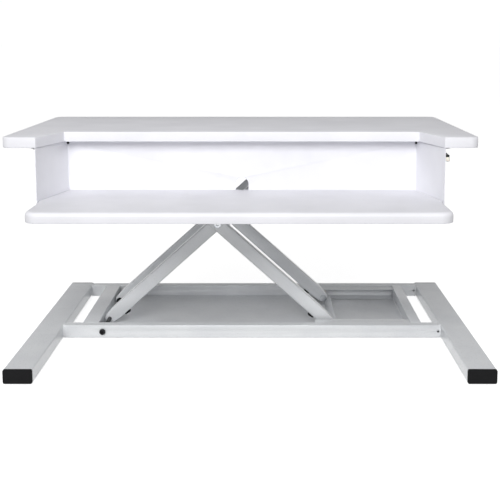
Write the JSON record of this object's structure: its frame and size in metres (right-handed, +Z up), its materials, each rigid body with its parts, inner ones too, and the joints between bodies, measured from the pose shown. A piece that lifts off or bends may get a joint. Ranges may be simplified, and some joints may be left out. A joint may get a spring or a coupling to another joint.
{
  "type": "standing desk converter",
  "caption": "Two-tier sit-stand desk converter: a white top board and hung keyboard tray on a scissor lift with a locking gas spring and a flat tubular base.",
  "frame": {"origin": "on the desk, under the centre of the whole object's box, with the lift raised", "axes": "+X to the right as the user faces it, +Y away from the user, +Z up"},
  "size_m": [0.817, 0.55, 0.3921],
  "materials": {
    "frame_paint": "fine silver-grey powder coat",
    "white_sheet": "white powder coat on folded sheet steel",
    "white_board": "white melamine-faced board with a matching edge",
    "black_plastic": "moulded, fine matt texture",
    "black_rubber": "matt moulded rubber",
    "zinc_steel": "bright zinc plate",
    "black_steel": "black oxide",
    "spring_paint": "smooth dark grey enamel",
    "bright_rod": "hard chrome, polished",
    "nylon": "natural nylon"
  },
  "bodies": {
    "base": {"left_foot_tube": "frame_paint", "front_left_foot_cap": "black_plastic", "front_left_foot_pad": "black_rubber", "rear_left_foot_cap": "black_plastic", "rear_left_foot_pad": "black_rubber", "right_foot_tube": "frame_paint", "front_right_foot_cap": "black_plastic", "front_right_foot_pad": "black_rubber", "rear_right_foot_cap": "black_plastic", "rear_right_foot_pad": "black_rubber", "front_crossbar": "frame_paint", "front_lower_rail": "frame_paint", "front_lower_pivot_bolt": "black_steel", "rear_crossbar": "frame_paint", "rear_lower_rail": "frame_paint", "rear_lower_pivot_bolt": "black_steel", "left_cross_member": "frame_paint", "right_cross_member": "frame_paint", "base_pan": "frame_paint"},
    "inner_arms": {"front_inner_arm": "frame_paint", "front_inner_bumper": "black_rubber", "front_spring_lever": "frame_paint", "front_upper_roller_axle": "zinc_steel", "rear_inner_arm": "frame_paint", "rear_inner_bumper": "black_rubber", "rear_spring_lever": "frame_paint", "rear_upper_roller_axle": "zinc_steel", "spreader_tube": "frame_paint", "spring_lower_pin": "zinc_steel"},
    "outer_arms": {"front_outer_arm": "frame_paint", "front_outer_bumper": "black_rubber", "front_lower_roller_axle": "zinc_steel", "front_centre_bolt": "zinc_steel", "rear_outer_arm": "frame_paint", "rear_outer_bumper": "black_rubber", "rear_lower_roller_axle": "zinc_steel", "rear_centre_bolt": "zinc_steel", "outer_end_plate": "frame_paint"},
    "deck": {"top_board": "white_board", "keyboard_tray": "white_board", "tray_hanger": "white_sheet", "front_upper_rail": "frame_paint", "front_upper_pivot_bolt": "zinc_steel", "rear_upper_rail": "frame_paint", "rear_upper_pivot_bolt": "zinc_steel", "spring_tie": "frame_paint", "right_tie": "frame_paint", "spring_upper_pin": "zinc_steel", "release_bracket": "zinc_steel", "release_lever_pin": "zinc_steel", "release_cable": "black_rubber"},
    "front_lower_roller_body": {"front_lower_roller": "nylon"},
    "rear_lower_roller_body": {"rear_lower_roller": "nylon"},
    "front_upper_roller_body": {"front_upper_roller": "nylon"},
    "rear_upper_roller_body": {"rear_upper_roller": "nylon"},
    "spring_cylinder_body": {"spring_cylinder": "spring_paint", "spring_end_cap": "black_plastic"},
    "spring_rod_body": {"spring_rod": "bright_rod", "spring_rod_eye": "zinc_steel"},
    "release_lever_body": {"release_lever": "black_steel"}
  },
  "joints": [
    {"name": "lift_fold", "type": "hinge", "parent": "base", "child": "inner_arms", "pos_m": [-0.2705, 0.118, 0.014], "axis": [0, 1, 0], "range_deg": [0, 32]},
    {"name": "scissor_centre", "type": "hinge", "parent": "inner_arms", "child": "outer_arms", "pos_m": [-0.05722, 0.118, 0.20604], "axis": [0, 1, 0], "range_deg": [-64.2, 0]},
    {"name": "deck_pivot", "type": "hinge", "parent": "outer_arms", "child": "deck", "pos_m": [-0.23223, 0.118, 0.36362], "axis": [0, 1, 0], "range_deg": [0, 32.2]},
    {"name": "spring_swing", "type": "hinge", "parent": "inner_arms", "child": "spring_cylinder_body", "pos_m": [-0.0436, 0.118, 0.17056], "axis": [0, 1, 0], "range_deg": [-65, 0]},
    {"name": "spring_stroke", "type": "slide", "parent": "spring_cylinder_body", "child": "spring_rod_body", "axis": [-0.5358, 0, 0.8443], "range_m": [-0.051, 0]},
    {"name": "front_lower_roller_spin", "type": "hinge", "parent": "outer_arms", "child": "front_lower_roller_body", "pos_m": [0.15607, 0.118, 0.014], "axis": [0, 1, 0], "continuous": true},
    {"name": "front_upper_roller_spin", "type": "hinge", "parent": "inner_arms", "child": "front_upper_roller_body", "pos_m": [0.11779, 0.118, 0.36362], "axis": [0, 1, 0], "continuous": true},
    {"name": "rear_lower_roller_spin", "type": "hinge", "parent": "outer_arms", "child": "rear_lower_roller_body", "pos_m": [0.15607, 0.118, 0.014], "axis": [0, 1, 0], "continuous": true},
    {"name": "rear_upper_roller_spin", "type": "hinge", "parent": "inner_arms", "child": "rear_upper_roller_body", "pos_m": [0.11779, 0.118, 0.36362], "axis": [0, 1, 0], "continuous": true},
    {"name": "release_squeeze", "type": "hinge", "parent": "deck", "child": "release_lever_body", "pos_m": [0.3392, -0.095, 0.36107], "axis": [-1, 0, 0], "range_deg": [0, 7], "stiffness_Nm_per_rad": 0.5}
  ],
  "couplings": [
    {"joint": "scissor_centre", "follows": "lift_fold", "ratio": -2},
    {"joint": "deck_pivot", "follows": "lift_fold", "ratio": 1},
    {"joint": "spring_swing", "follows": "lift_fold", "ratio": -2.025},
    {"joint": "spring_stroke", "follows": "lift_fold", "m_per_rad": -0.0905}
  ]
}
